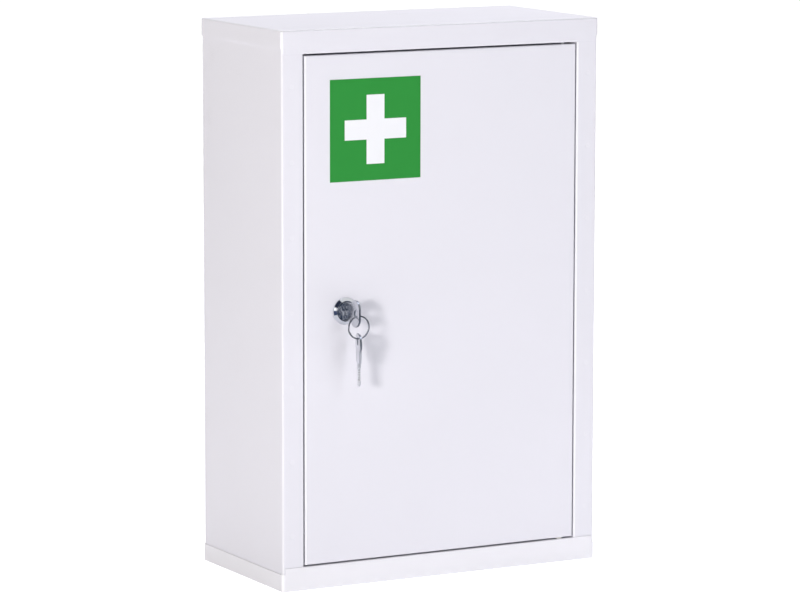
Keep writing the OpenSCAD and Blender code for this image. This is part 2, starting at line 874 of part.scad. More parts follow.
module key_ring()
    color(chrome)
        translate([ring_x, ring_y, ring_z])
            rotate([90, 0, 0])
                rotate_extrude($fn = fine)
                    translate([ring_r, 0])
                        circle(d = ring_wire_d, $fn = fine);

module spare_key()
    color(chrome)
        translate([ring_x, ring_y, spare_z])
            rotate([0, 0, -spare_twist])
                key_blank();

top_panel();
bottom_panel();
left_side_panel();
right_side_panel();
back_panel();
upper_shelf();
lower_shelf();
upper_left_bracket();
upper_right_bracket();
lower_left_bracket();
lower_right_bracket();
upper_door_stop();
lower_door_stop();
door_bumpers();
top_hinge_pin();
bottom_hinge_pin();
thrust_washer();
door_panel();
top_hinge_bush();
bottom_hinge_bush();
sign_field();
sign_cross();
lock_housing();
lock_washer();
lock_nut();
lock_plug();
lock_wafers();
lock_cam();
cam_washer();
cam_screw();
door_key();
key_ring();
spare_key();
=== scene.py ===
"""The dressed model of a lockable steel medicine cabinet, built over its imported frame.

Metres, with +Z up. The door faces -Y and the origin is the centre of the underside.
"""
import logging
import math
from dataclasses import dataclass, field
from enum import Enum
from typing import Any, Callable, Union

import bmesh
import bpy
import numpy as np
from mathutils import Matrix, Vector


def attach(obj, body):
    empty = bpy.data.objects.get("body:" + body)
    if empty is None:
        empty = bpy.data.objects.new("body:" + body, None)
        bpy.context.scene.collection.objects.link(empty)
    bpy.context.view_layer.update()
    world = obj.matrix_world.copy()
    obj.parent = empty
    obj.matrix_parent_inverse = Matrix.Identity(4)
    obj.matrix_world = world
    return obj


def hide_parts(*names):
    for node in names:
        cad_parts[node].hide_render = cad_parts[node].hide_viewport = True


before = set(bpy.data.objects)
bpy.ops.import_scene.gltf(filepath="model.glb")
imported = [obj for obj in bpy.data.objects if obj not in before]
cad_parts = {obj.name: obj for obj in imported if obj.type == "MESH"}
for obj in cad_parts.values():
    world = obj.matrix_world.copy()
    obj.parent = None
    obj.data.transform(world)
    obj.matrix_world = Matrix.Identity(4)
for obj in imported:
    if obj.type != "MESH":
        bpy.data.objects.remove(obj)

logging.basicConfig(level=logging.INFO, format="%(levelname)s %(message)s")
log = logging.getLogger("medicine_cabinet")

MM = 0.001
Array = np.ndarray
Pair = tuple[float, float]
Triple = tuple[float, float, float]
Colour = Triple
Number = Union[float, "Value"]
Socket = bpy.types.NodeSocket
Look = tuple[Socket, "Value"]
WHITE: Colour = (1.0, 1.0, 1.0)
REFLECTED_BLACK: Colour = (0.010, 0.020, 0.052)
SHARP_FROM = 32.0  # degrees between two faces
SEAM = 0.002 * MM  # points closer than this become one


# ---------- shader maths ----------

def math_method(operation: str, swapped: bool = False) -> Callable[..., "Value"]:
    """Makes a method of Value.

    Args:
        operation: what the Math node does with this value and another.
        swapped: True puts the other value first.

    Returns:
        The method, which returns the node's result.
    """
    def method(self: "Value", other: Number = 0.0) -> "Value":
        """Adds the Math node."""
        return self.graph.maths(operation, *((other, self) if swapped else (self, other)))

    return method


class Value:
    """A number that a shader works out over a surface, written with ordinary operators."""

    __add__ = __radd__ = math_method("ADD")
    __sub__ = math_method("SUBTRACT")
    __rsub__ = math_method("SUBTRACT", swapped=True)
    __mul__ = __rmul__ = math_method("MULTIPLY")
    __truediv__ = math_method("DIVIDE")
    __abs__ = math_method("ABSOLUTE")
    least = math_method("MINIMUM")
    most = math_method("MAXIMUM")

    def __init__(self, graph: "Graph", socket: Socket) -> None:
        """Wraps the output socket of a node in graph."""
        self.graph = graph
        self.socket = socket

    def hypot(self, other: "Value") -> "Value":
        """Distance from the origin of the point that has the two values as its coordinates."""
        return self.graph.maths("POWER", self * self + other * other, 0.5)

    def saw(self, pitch: float) -> "Value":
        """Distance from the nearest multiple of pitch: this value folded back and forth."""
        return self.graph.maths("PINGPONG", self, pitch / 2)

    def ease(self, start: float, end: float) -> "Value":
        """Smooth step along this value.

        Args:
            start: where the step still is 0.
            end: where it has reached 1, which may be the lower of the two places.

        Returns:
            The step, from 0 on the side of start to 1 on the side of end.
        """
        low, high = min(start, end), max(start, end)
        node = self.graph.node(
            "ShaderNodeMapRange",
            {"interpolation_type": "SMOOTHSTEP"},
            {"Value": self, "From Min": low, "From Max": high},
        )
        rising = Value(self.graph, node.outputs["Result"])
        return rising if end > start else 1 - rising


class Graph:
    """The node tree of one material or of the world."""

    def __init__(self, tree: bpy.types.NodeTree) -> None:
        """Empties the tree and starts afresh."""
        self.tree = tree
        self.tree.nodes.clear()

    def node(self, kind: str, settings: dict[str, Any], inputs: dict[Any, Any]) -> bpy.types.Node:
        """Adds a node.

        Args:
            kind: the node's type name.
            settings: its properties, set first.
            inputs: a value, Value or socket for each input, by its name or its number.

        Returns:
            The new node.
        """
        made = self.tree.nodes.new(kind)
        for key, value in settings.items():
            setattr(made, key, value)
        for key, value in inputs.items():
            socket = made.inputs[key]
            if isinstance(value, Value):
                self.tree.links.new(value.socket, socket)
            elif isinstance(value, Socket):
                self.tree.links.new(value, socket)
            elif isinstance(value, tuple) and len(value) == 3 and socket.type == "RGBA":
                socket.default_value = (*value, 1.0)
            else:
                socket.default_value = value
        return made

    def maths(self, operation: str, a: Number, b: Number) -> Value:
        """Adds a Math node on two values."""
        node = self.node("ShaderNodeMath", {"operation": operation}, {0: a, 1: b})
        return Value(self, node.outputs[0])

    def place(self) -> Socket:
        """Object coordinates, which are the row frame's metres on every piece."""
        return self.node("ShaderNodeTexCoord", {}, {}).outputs["Object"]

    def facing(self) -> tuple[Value, Value, Value]:
        """The three components of the surface's own normal at rest, whatever the pose."""
        return self.axes(self.node("ShaderNodeTexCoord", {}, {}).outputs["Normal"])

    def ray(self, kind: str) -> Value:
        """1 for a ray of that kind, such as "Is Camera Ray", and 0 for any other."""
        return Value(self, self.node("ShaderNodeLightPath", {}, {}).outputs[kind])

    def axes(self, vector: Socket) -> tuple[Value, Value, Value]:
        """The three components of a vector."""
        node = self.node("ShaderNodeSeparateXYZ", {}, {"Vector": vector})
        return tuple(Value(self, socket) for socket in node.outputs)

    def stretch(self, vector: Socket, scale: Triple) -> Socket:
        """A position scaled along each axis."""
        node = self.node("ShaderNodeVectorMath", {"operation": "MULTIPLY"}, {0: vector, 1: scale})
        return node.outputs[0]

    def noise(self, vector: Socket, scale: float, detail: float = 2.0, rough: float = 0.5) -> Value:
        """Fractal noise from 0 to 1, with scale in cycles per metre.

        Args:
            vector: the position.
            scale: cycles per metre.
            detail: octaves of finer noise.
            rough: how strong the finer octaves are.

        Returns:
            The noise, from 0 to 1.
        """
        node = self.node("ShaderNodeTexNoise", {},
                         {"Vector": vector, "Scale": scale, "Detail": detail, "Roughness": rough})
        return Value(self, node.outputs["Fac"])

    def cells(self, vector: Socket, scale: float) -> Value:
        """Distance to the middle of the nearest Voronoi cell, with scale in cells per metre."""
        node = self.node("ShaderNodeTexVoronoi", {}, {"Vector": vector, "Scale": scale})
        return Value(self, node.outputs["Distance"])

    def nearness(self, reach: float) -> Value:
        """Share of the half space that other faces fill within reach: 0 in the open, 1 in a slot."""
        node = self.node("ShaderNodeAmbientOcclusion", {"samples": 6}, {"Distance": reach})
        return 1 - Value(self, node.outputs["AO"])

    def mix(self, share: Number, a: Any, b: Any) -> Socket:
        """Colour a where share is 0 and colour b where it is 1."""
        node = self.node("ShaderNodeMix", {"data_type": "RGBA"}, {0: share, 6: a, 7: b})
        return node.outputs[2]

    def tinted(self, share: Number, colour: Colour, spread: Pair) -> Socket:
        """The colour times the first part of spread where share is 0, the second where it is 1."""
        low, high = (tuple(min(1.0, factor * part) for part in colour) for factor in spread)
        return self.mix(share, low, high)

    def bump(self, height: Value, distance: float) -> Socket:
        """Normal of a surface whose height is given in units of distance."""
        node = self.node("ShaderNodeBump", {}, {"Height": height, "Distance": distance})
        return node.outputs["Normal"]


@dataclass(frozen=True)
class Finish:
    """What every finish has: a name, and the method that makes its material."""

    name: str

    def build(self) -> bpy.types.Material:
        """Makes the material.

        Returns:
            A material whose nodes give this finish.
        """
        made = bpy.data.materials.new(self.name)
        made.use_nodes = True
        graph = Graph(made.node_tree)
        shader = graph.node("ShaderNodeBsdfPrincipled", {}, self.sockets(graph))
        graph.node("ShaderNodeOutputMaterial", {}, {"Surface": shader.outputs["BSDF"]})
        return made

    def sockets(self, graph: Graph) -> dict[str, Any]:
        """Works out what the shader's sockets get.

        Args:
            graph: the material's node tree.

        Returns:
            A value or a link for each socket, by its name.
        """
        raise NotImplementedError


class Welds(Enum):
    """Where a painted panel shows the dimples of its spot welds."""

    NONE = "none"
    BRACKET = "bracket"
    REAR = "rear"


@dataclass(frozen=True)
class PowderCoat(Finish):
    """Baked powder coat on steel: semi-gloss, orange peel, edges paled by thin paint and a painted
    highlight.

    The rim is the place along X of the upright front fold that gets a painted highlight.
    """

    colour: Colour = (0.770, 0.766, 0.830)
    spread: Pair = (0.985, 1.015)
    thin_paint_and_highlight_colour: Colour = (0.87, 0.87, 0.91)
    painted_highlight_colour: Colour = (0.93, 0.93, 0.95)
    painted_fold_shade_colour: Colour = (0.47, 0.47, 0.50)
    painted_seam_shade_colour: Colour = (0.48, 0.48, 0.52)
    painted_gap_shade_colour: Colour = (0.012, 0.035, 0.095)
    roughness: float = 0.3
    cloud_scale: float = 11.0
    grain_scale: float = 2600.0
    ragged_scale: float = 700.0
    nib_scale: float = 95.0
    peel_pitch: float = 1.6 * MM
    peel_height: float = 0.004 * MM
    rim: float = -150 * MM
    painted_highlight_share: float = 0.8
    half_width: float = 150 * MM
    half_depth: float = 75 * MM
    height: float = 465 * MM
    welds: Welds = Welds.NONE

    def sockets(self, graph: Graph) -> dict[str, Any]:
        """Pale edges: thin paint and painted highlight. Painted shade, cloudy gloss, peel, dust nibs,
        weld dimples.

        Args:
            graph: the material's nodes.

        Returns:
            The shader's sockets by name, with their values or links.
        """
        place = graph.place()
        x, y, z = graph.axes(place)
        to_edge = self._to_edge(x, y, z)
        ragged = to_edge + (graph.noise(place, self.ragged_scale, 3) - 0.5) * 1.2 * MM
        edge = ragged.ease(1.6 * MM, 0.4 * MM)
        cloud = graph.noise(place, self.cloud_scale, 3)
        grain = graph.noise(place, self.grain_scale, 2)
        tone = (cloud - 0.5) * 0.35 + (grain - 0.5) * 0.16 + 0.5
        colour = graph.tinted(tone, self.colour, self.spread)
        # Paler edges: partly thinner paint, partly a painted highlight.
        colour = graph.mix(edge * 0.35, colour, self.thin_paint_and_highlight_colour)
        colour = self._folds(graph, colour, to_edge, (x, y, z))
        colour = self._shade(graph, colour, x, z)
        peel = graph.noise(place, 1 / self.peel_pitch, 1)
        peel = peel + graph.noise(place, 3.1 / self.peel_pitch, 1) * 0.3
        height = peel + graph.cells(place, self.nib_scale).ease(0.034, 0.012) * 1.5
        if self.welds is not Welds.NONE:
            dent = self._weld_dents(x, y, z)
            height = height - dent * 30
            colour = graph.mix(dent * 0.12, colour, self.thin_paint_and_highlight_colour)
        return {
            "Base Color": colour,
            "Roughness": self.roughness + (cloud - 0.5) * 0.09 + (grain - 0.5) * 0.05 + edge * 0.05,
            "Normal": graph.bump(height, self.peel_height),
            "IOR": 1.5,
            "Specular IOR Level": 0.5,
        }

    def _to_edge(self, x: Value, y: Value, z: Value) -> Value:
        """Distance to the box's nearest edge: the middle one of the distances to its faces."""
        across, along, up = self.half_width - abs(x), self.half_depth - abs(y), z.least(self.height - z)
        return across.most(along).least(across.most(up)).least(along.most(up))

    def _folds(self, graph: Graph, colour: Socket, to_edge: Value,
               axes: tuple[Value, Value, Value]) -> Socket:
        """Paints a highlight on the upright fold at the rim and paints shade on the folds round the lid.

        Args:
            graph: the material's node tree.
            colour: the colour so far.
            to_edge: the distance to the box's nearest edge.
            axes: the place.

        Returns:
            The colour with both folds.
        """
        x, y, z = axes
        along = self.half_depth - abs(y)
        # Painted highlight on the upright fold at the rim.
        rim = abs(x - self.rim).most(along).ease(2.0 * MM, 1.2 * MM)
        colour = graph.mix(rim * self.painted_highlight_share, colour, self.painted_highlight_colour)
        # Painted shade: a grey line along the folds round the lid, stronger at the front.
        lid = to_edge.ease(1.9 * MM, 0.5 * MM) * (self.height - z).ease(2.2 * MM, 1.4 * MM)
        front_share = along.ease(2.6 * MM, 1.6 * MM) * 0.6 + 0.2
        return graph.mix(lid * front_share, colour, self.painted_fold_shade_colour)

    def _shade(self, graph: Graph, colour: Socket, x: Value, z: Value) -> Socket:
        """Paints shade: darkens steps a little, and gaps where two sheets face each other almost to
        black.

        The box's outer sides and its lowest 5 mm stay clear. Gaps at the right stile and at the
        bottom rail get half the shade.

        Args:
            graph: the material's node tree.
            colour: the colour so far.
            x, z: the place across and up.

        Returns:
            The colour with its shade.
        """
        # Painted shade where other faces are near, from ambient occlusion.
        near = graph.nearness(3.0 * MM) * z.ease(1.0 * MM, 5.0 * MM)
        near = near * (self.half_width - abs(x)).ease(0.6 * MM, 1.2 * MM)
        colour = graph.mix(near.ease(0.2, 0.5) * 0.2, colour, self.painted_seam_shade_colour)
        # Less painted shade in the right and bottom gaps, where more light falls in.
        lit = x.ease(126 * MM, 127.5 * MM).most(z.ease(24 * MM, 22.5 * MM))
        return graph.mix(near.ease(0.72, 0.93) * (1 - 0.5 * lit), colour, self.painted_gap_shade_colour)

    def _weld_dents(self, x: Value, y: Value, z: Value) -> Value:
        """Round dimples, spaced evenly along the rows of spot welds.

        Args:
            x, y, z: the place.

        Returns:
            1 inside a dimple and 0 outside.
        """
        radius = 2.6 * MM
        if self.welds is Welds.BRACKET:
            row, spacing, pitch = abs(z - 148.5 * MM).least(abs(z - 303.5 * MM)), y, 48 * MM
        else:
            row, spacing, pitch = abs(abs(x) - 140.5 * MM), z - 232.5 * MM, 62 * MM
        return row.hypot(spacing.saw(pitch)).ease(radius, radius * 0.55)


@dataclass(frozen=True)
class Vinyl(Finish):
    """Printed self-adhesive film: even colour with a faint print grain and a satin face."""

    colour: Colour = (0.0275, 0.272, 0.044)
    spread: Pair = (0.965, 1.035)
    roughness: float = 0.34
    grain_scale: float = 3800.0
    cloud_scale: float = 22.0
    ripple_scale: float = 90.0

    def sockets(self, graph: Graph) -> dict[str, Any]:
        """Print grain in the colour, slow cloudiness in the gloss, and a light texture.

        Args:
            graph: the material's nodes.

        Returns:
            The shader's sockets by name, with their values or links.
        """
        place = graph.place()
        grain = graph.noise(place, self.grain_scale, 2)
        cloud = graph.noise(place, self.cloud_scale, 2)
        ripple = graph.noise(place, self.ripple_scale, 2) * 3 + grain * 0.5
        return {
            "Base Color": graph.tinted((grain - 0.5) * 0.5 + (cloud - 0.5) * 0.5 + 0.5,
                                       self.colour, self.spread),
            "Roughness": self.roughness + (cloud - 0.5) * 0.1 + (grain - 0.5) * 0.06,
            "Normal": graph.bump(ripple, 0.003 * MM),
            "IOR": 1.46,
            "Specular IOR Level": 0.25,
        }


@dataclass(frozen=True)
class Plating(Finish):
    """Plated metal with hairline scratches, slow staining and fine pits."""

    colour: Colour = (0.80, 0.81, 0.83)
    stain: Colour = (0.62, 0.62, 0.63)
    roughness: float = 0.09
    scratch: float = 0.10
    stain_share: float = 0.25
    stain_scale: float = 160.0
    grain_scale: float = 5200.0
    flake_scale: float = 900.0
    pit_height: float = 0.002 * MM
    crystal: float = 0.0
    relief: float = 0.0

    def sockets(self, graph: Graph) -> dict[str, Any]:
        """Stains darken the colour, scratches and crystals vary the gloss, pits roughen the face.

        Args:
            graph: the material's nodes.

        Returns:
            The shader's sockets by name, with their values or links.
        """
        place = graph.place()
        stains = graph.noise(place, self.stain_scale, 4, 0.6).ease(0.45, 0.7)
        long_way = graph.noise(graph.stretch(place, (9000.0, 9000.0, 500.0)), 1, 2)
        cross_way = graph.noise(graph.stretch(place, (700.0, 700.0, 8000.0)), 1, 2)
        lines = long_way.ease(0.6, 0.75) * 0.6 + cross_way.ease(0.62, 0.78) * 0.6
        grain = graph.noise(place, self.grain_scale, 2)
        colour = graph.mix(stains * self.stain_share + (grain - 0.5) * 0.1, self.colour, self.stain)
        gloss = self.roughness + lines * self.scratch + stains * 0.05 + (grain - 0.5) * 0.04
        height = grain + lines * -0.8
        if self.crystal > 0:
            flakes = graph.cells(place, self.flake_scale)
            gloss = gloss + flakes * self.crystal
            height = height + flakes * 1.5
        if self.relief > 0:
            dents = graph.noise(graph.stretch(place, (1.0, 1.0, 0.75)), self.stain_scale, 2, 0.55)
            height = height + dents * self.relief
        colour, gloss = self.shaped(graph, place, colour, gloss)
        return {
            "Base Color": colour,
            "Metallic": 1.0,
            "Roughness": gloss,
            "Normal": graph.bump(height, self.pit_height),
        }

    def shaped(self, graph: Graph, place: Socket, colour: Socket, gloss: Value) -> Look:
        """Changes the look with the piece's own shape; here it stays.

        Args:
            graph: the material's node tree.
            place: the object coordinates.
            colour: the colour so far.
            gloss: the roughness so far.

        Returns:
            The colour and the roughness.
        """
        return colour, gloss


@dataclass(frozen=True)
class LockFace(Plating):
    """Plated lock front: in a recess round the axis a painted shade and dark reflection, bright outside
    it.
    """

    axis: Pair = (-91.3 * MM, 231.5 * MM)
    recess: float = 8.55 * MM
    # dull: the colour of the painted shade and dark reflection in the recess.
    dull: Colour = (0.30, 0.31, 0.35)
    dull_roughness: float = 0.24
    blotch_scale: float = 560.0

    def shaped(self, graph: Graph, place: Socket, colour: Socket, gloss: Value) -> Look:
        """The recess gets a painted shade and dark reflection; blotches of plating are left, most in the
        middle.

        Args:
            graph: the material's nodes.
            place: the object position.
            colour: the colour so far.
            gloss: the roughness so far.

        Returns:
            The colour and the roughness with this finish's own marks.
        """
        x, _, z = graph.axes(place)
        radius = (x - self.axis[0]).hypot(z - self.axis[1])
        inner = radius.ease(self.recess, self.recess - 0.2 * MM)
        blotch = graph.noise(graph.stretch(place, (1.3, 1.0, 0.5)), self.blotch_scale, 3)
        middle = radius.ease(5.6 * MM, 3.2 * MM)
        # Painted shade and dark reflection over the recess, broken by lighter blotches.
        painted_recess_shade = inner * (1 - blotch.ease(0.455, 0.525) * (middle * 0.5 + 0.5))
        return graph.mix(painted_recess_shade, colour, self.dull), gloss + painted_recess_shade * (self.dull_roughness - self.roughness)


@dataclass(frozen=True)
class KeyBlank(Plating):
    """Plated key: bright faces, a paler blade, and a painted dark reflection on the bow's narrow edge.
    """

    # edge: the colour of the painted dark reflection on the bow's narrow edge.
    edge: Colour = (0.19, 0.215, 0.26)
    pale_blade_colour: Colour = (0.93, 0.935, 0.95)
    bow_foot: float = 197 * MM
    bow_start: float = 206 * MM
    blade_start: float = 191 * MM
    streak_scale: float = 900.0

    def shaped(self, graph: Graph, place: Socket, colour: Socket, gloss: Value) -> Look:
        """The edge colour, a painted dark reflection, holds where the face turns away from the plate's
        side, which is X.

        Args:
            graph: the material's nodes.
            place: the object position.
            colour: the colour so far.
            gloss: the roughness so far.

        Returns:
            The colour and the roughness with this finish's own marks.
        """
        side, _, _ = graph.facing()
        _, _, z = graph.axes(place)
        # Painted dark reflection on the narrow edge, weaker towards the blade.
        narrow = abs(side).ease(0.75, 0.45) * (z.ease(self.bow_foot, self.bow_start) * 0.9 + 0.1)
        # The blade below its start is paler.
        colour = graph.mix(z.ease(self.blade_start, self.blade_start - 8 * MM), colour, self.pale_blade_colour)
        streaks = graph.noise(place, self.streak_scale, 2).ease(0.35, 0.6) * 0.3 + 0.7
        return graph.mix(narrow * streaks, colour, self.edge), gloss + narrow * 0.08


@dataclass(frozen=True)
class RingWire(Plating):
    """Spring steel wire, with a painted sheen towards its lower right."""

    centre: Pair = (-89.2 * MM, 220.289 * MM)
    radius: float = 9.35 * MM
    painted_sheen_colour: Colour = (0.80, 0.81, 0.84)

    def shaped(self, graph: Graph, place: Socket, colour: Socket, gloss: Value) -> Look:
        """The painted sheen's share grows towards the lower right, as x less 0.7 z from the ring's
        centre.

        Args:
            graph: the material's nodes.
            place: the object position.
            colour: the colour so far.
            gloss: the roughness so far.

        Returns:
            The colour and the roughness with this finish's own marks.
        """
        x, _, z = graph.axes(place)
        # Painted sheen on the lower right of the ring.
        low = ((x - self.centre[0]) - (z - self.centre[1]) * 0.7) / self.radius
        return graph.mix(low.ease(0.55, 1.15) * 0.85, colour, self.painted_sheen_colour), gloss


@dataclass(frozen=True)
class Moulded(Finish):
    """Moulded nylon or rubber: even colour, fine spark-eroded texture and a dull face."""

    colour: Colour = (0.78, 0.76, 0.68)
    spread: Pair = (0.93, 1.06)
    roughness: float = 0.48
    texture: float = 0.006 * MM
    pebble_scale: float = 4200.0
    cloud_scale: float = 300.0

    def sockets(self, graph: Graph) -> dict[str, Any]:
        """Slight mottling of the colour, uneven dullness and a fine pebbled texture.

        Args:
            graph: the material's nodes.

        Returns:
            The shader's sockets by name, with their values or links.
        """
        place = graph.place()
        cloud = graph.noise(place, self.cloud_scale, 3)
        return {
            "Base Color": graph.tinted(cloud, self.colour, self.spread),
            "Roughness": self.roughness + (cloud - 0.5) * 0.15,
            "Normal": graph.bump(graph.cells(place, self.pebble_scale), self.texture),
            "IOR": 1.5,
        }


# ---------- surfaces ----------

def add(name: str, data: bpy.types.ID) -> bpy.types.Object:
    """Puts a mesh, a lamp or a camera into the scene as an object.

    Args:
        name: the object's name.
        data: what the object holds.

    Returns:
        The new object, at the origin.
    """
    made = bpy.data.objects.new(name, data)
    bpy.context.scene.collection.objects.link(made)
    return made


@dataclass
class Skin:
    """Points and quads of a surface, worked out as whole arrays, in metres."""

    points: Array
    quads: Array

    def __add__(self, other: "Skin") -> "Skin":
        """Both surfaces side by side."""
        return Skin(np.vstack([self.points, other.points]),
                    np.vstack([self.quads, other.quads + len(self.points)]))

    def moved(self, place: Matrix) -> "Skin":
        """The surface carried by a 4 by 4 matrix."""
        turn = np.array(place, float)
        return Skin(self.points @ turn[:3, :3].T + turn[:3, 3], self.quads)

    def mesh(self, name: str, material: bpy.types.Material) -> bpy.types.Mesh:
        """Makes a mesh of the surface.

        Args:
            name: the mesh's name.
            material: its finish.

        Returns:
            The new mesh.
        """
        mesh = bpy.data.meshes.new(name)
        mesh.from_pydata(self.points.tolist(), [], self.quads.tolist())
        mesh.materials.append(material)
        return mesh

    def build(self, name: str, material: bpy.types.Material, slot: str, body: str,
              stands_for: str) -> None:
        """Makes a piece: closes its seams, turns its faces outwards and puts it on its body.

        Args:
            name: the piece's name.
            material: its finish.
            slot: the record's material slot, which is only logged; the finish comes from material.
            body: the body it rides on.
            stands_for: the CAD node that it replaces.
        """
        mesh = self.mesh(name, material)
        shell = bmesh.new()
        shell.from_mesh(mesh)
        bmesh.ops.remove_doubles(shell, verts=shell.verts[:], dist=SEAM)
        bmesh.ops.dissolve_degenerate(shell, edges=shell.edges[:], dist=SEAM / 2)
        bmesh.ops.recalc_face_normals(shell, faces=shell.faces[:])
        shell.to_mesh(mesh)
        shell.free()
        mesh.shade_smooth()
        mesh.set_sharp_from_angle(angle=math.radians(SHARP_FROM))
        piece = add(name, mesh)
        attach(piece, body)
        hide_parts(stands_for)
        log.info("%s: %d faces, rides on %s, slot %s", name, len(mesh.polygons), body, slot)


def grid(points: Array, wrap_rows: bool = False, wrap_columns: bool = False) -> Skin:
    """Quads between neighbouring points of a grid.

    Args:
        points: an array of rows by columns by 3.
        wrap_rows: True joins the last row to the first.
        wrap_columns: True joins the last column to the first.

    Returns:
        The surface through all of the points.
    """
    rows, columns = points.shape[:2]
    i, j = np.meshgrid(np.arange(rows if wrap_rows else rows - 1),
                       np.arange(columns if wrap_columns else columns - 1), indexing="ij")
    next_i, next_j = (i + 1) % rows, (j + 1) % columns
    corners = [i * columns + j, next_i * columns + j, next_i * columns + next_j, i * columns + next_j]
    return Skin(points.reshape(-1, 3), np.stack(corners, -1).reshape(-1, 4))


def around(count: int) -> Array:
    """Angles of a full turn in count equal steps, without the last."""
    return np.arange(count) * (2 * math.pi / count)


def turned(radius: Array, height: Array, angles: Array) -> Array:
    """Points (radius cos a, radius sin a, height) for every angle a."""
    radius, height, angles = np.broadcast_arrays(radius, height, angles)
    return np.stack([radius * np.cos(angles), radius * np.sin(angles), height], -1)


def arc(centre: Pair, radius: float, start: float, end: float, count: int) -> Array:
    """Points on a circle: the centre plus the radius times cosine and sine of each angle in degrees."""
    angles = np.radians(np.linspace(start, end, count))
    return np.column_stack([centre[0] + radius * np.cos(angles), centre[1] + radius * np.sin(angles)])


# ---------- sub-assemblies ----------

@dataclass
class Paintwork:
    """The painted steel sheets: each coat, and the nodes that wear it.

    The base plate's coat is paler: painted light on the bottom of the box.
    """

    coats: tuple[tuple[PowderCoat, tuple[str, ...]], ...] = (
        (PowderCoat("powder_coat_plain"),
         ("top_panel", "upper_shelf", "lower_shelf", "upper_door_stop", "lower_door_stop")),
        # Paler coat on the base plate: painted light.
        (PowderCoat("powder_coat_base_painted_light", colour=(0.823, 0.820, 0.869)), ("bottom_panel",)),
        # This coat puts the painted highlight on the door's left edge.
        (PowderCoat("powder_coat_door", rim=-128.3 * MM, painted_highlight_share=0.55), ("door_panel",)),
        (PowderCoat("powder_coat_rear", welds=Welds.REAR), ("left_side_panel", "back_panel")),
        # This coat puts the painted highlight on the right stile's inner edge.
        (PowderCoat("powder_coat_right", welds=Welds.REAR, rim=129.5 * MM), ("right_side_panel",)),
        (PowderCoat("powder_coat_bracket", welds=Welds.BRACKET),
         ("upper_left_bracket", "upper_right_bracket", "lower_left_bracket", "lower_right_bracket")),
    )

    def dress(self) -> None:
        """Gives every sheet its coat."""
        for coat, nodes in self.coats:
            dress(coat.build(), nodes)


def dress(material: bpy.types.Material, nodes: tuple[str, ...]) -> None:
    """Puts a material on CAD nodes and reports each one.

    Args:
        material: the finish.
        nodes: the names of the nodes.
    """
    for name in nodes:
        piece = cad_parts[name]
        for slot in piece.material_slots:
            slot.material = material
        log.info("%s: carried over from the frame, wears %s", name, material.name)


@dataclass
class SafetySign:
    """The square green film and the white cross in it."""

    green: Vinyl = Vinyl("sign_vinyl_green")
    white: Vinyl = Vinyl("sign_vinyl_white", colour=(0.84, 0.85, 0.89), roughness=0.36)

    def dress(self) -> None:
        """Gives both films their finish."""
        dress(self.green.build(), ("sign_field",))
        dress(self.white.build(), ("sign_cross",))


@dataclass
class LockSizes:
    """Sizes of the cam lock, in millimetres along its own axis; +Z points out of the door."""

    x: float = -91.3
    face_y: float = -74.2
    z: float = 231.5
    head_radius: float = 11.3
    head_height: float = 3.0
    recess_radius: float = 8.5
    recess_floor: float = 0.8
    bore_radius: float = 5.81
    barrel_radius: float = 9.3
    half_flats: float = 8.0
    barrel_length: float = 22.0
    groove_radius: float = 6.85
    groove_half: float = 2.8
    groove_low: float = -11.5
    groove_high: float = -0.5
    groove_turns: Pair = (math.pi / 2, 0.0)
    thread_pitch: float = 1.0
    thread_depth: float = 0.32

    def place(self) -> Matrix:
        """Carries the lock's own frame, in metres, to the row frame."""
        spot = Vector((self.x * MM, self.face_y * MM, self.z * MM))
        return Matrix.Translation(spot) @ Matrix.Rotation(math.radians(90), 4, "X")


